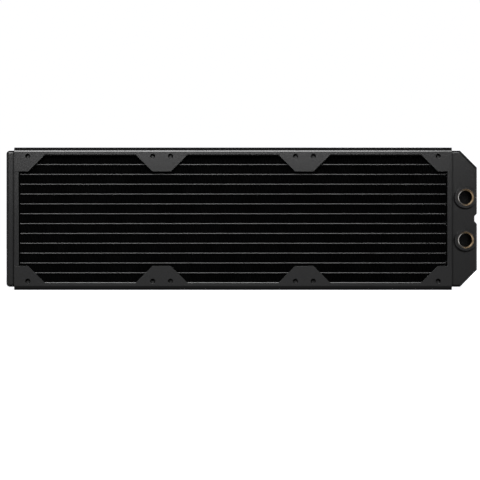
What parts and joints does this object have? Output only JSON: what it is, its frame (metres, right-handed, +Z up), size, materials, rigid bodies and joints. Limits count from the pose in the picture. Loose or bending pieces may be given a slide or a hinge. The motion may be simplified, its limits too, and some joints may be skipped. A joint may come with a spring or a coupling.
{
  "type": "liquid cooling radiator",
  "caption": "Slim liquid cooling radiator: flat tubes and folded fins between two tanks, with threaded ports on one face and screw holes for a row of fans on both faces.",
  "frame": {"origin": "the middle of the resting face under the lower side channel, midway along the fan places and midway through the depth", "axes": "+X along the tubes towards the ports, -Y out of the face with the ports, +Z up"},
  "size_m": [0.3962, 0.03, 0.1199],
  "materials": {
    "frame_paint": "satin black paint",
    "tank_paint": "satin black paint",
    "core_paint": "satin black paint over brass tube",
    "guard_paint": "satin black paint",
    "fin_paint": "thin matt black paint over copper foil",
    "port_brass": "turned brass, its head painted satin black",
    "bare_brass": "bare sheet"
  },
  "bodies": {
    "root": {"side_channel_upper": "frame_paint", "side_channel_lower": "frame_paint", "core_support_upper": "core_paint", "core_support_lower": "core_paint", "screw_guard_upper_front": "guard_paint", "screw_guard_upper_back": "guard_paint", "screw_guard_lower_front": "guard_paint", "screw_guard_lower_back": "guard_paint", "return_header": "frame_paint", "port_header": "frame_paint", "return_tank": "tank_paint", "port_tank": "tank_paint", "tank_baffle": "bare_brass", "port_bushing_upper": "port_brass", "port_bushing_lower": "port_brass", "tube_01": "core_paint", "tube_02": "core_paint", "tube_03": "core_paint", "tube_04": "core_paint", "tube_05": "core_paint", "tube_06": "core_paint", "tube_07": "core_paint", "tube_08": "core_paint", "tube_09": "core_paint", "tube_10": "core_paint", "tube_11": "core_paint", "tube_12": "core_paint", "fin_01": "fin_paint", "fin_02": "fin_paint", "fin_03": "fin_paint", "fin_04": "fin_paint", "fin_05": "fin_paint", "fin_06": "fin_paint", "fin_07": "fin_paint", "fin_08": "fin_paint", "fin_09": "fin_paint", "fin_10": "fin_paint", "fin_11": "fin_paint", "fin_12": "fin_paint", "fin_13": "fin_paint"}
  },
  "joints": []
}
